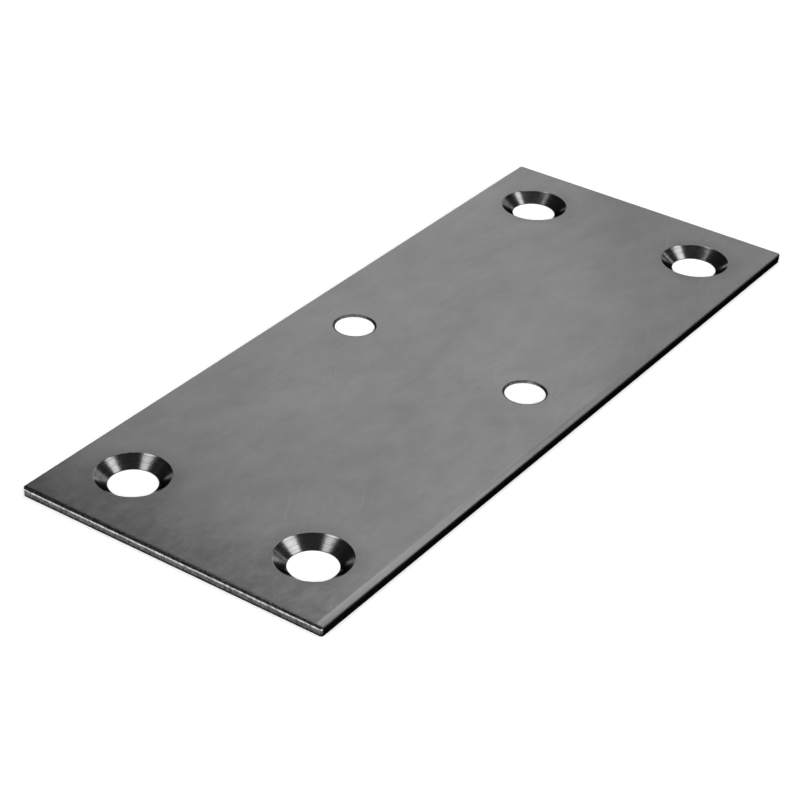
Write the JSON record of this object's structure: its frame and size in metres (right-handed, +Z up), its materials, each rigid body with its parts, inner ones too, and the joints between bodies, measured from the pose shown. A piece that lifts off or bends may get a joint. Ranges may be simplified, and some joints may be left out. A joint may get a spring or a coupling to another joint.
{
  "type": "bench plate",
  "caption": "Flat rectangular steel plate with countersunk screw holes near its corners and plain bolt holes across its middle.",
  "frame": {"origin": "centre of the underside, on the surface that the plate lies on", "axes": "+X along the length, +Y across the width, +Z up out of the countersunk face"},
  "size_m": [0.125, 0.05, 0.0016],
  "materials": {
    "steel": "bare cold-rolled sheet, satin and slightly cloudy, with sheared edges and turned countersinks"
  },
  "bodies": {
    "root": {"plate": "steel"}
  },
  "joints": []
}
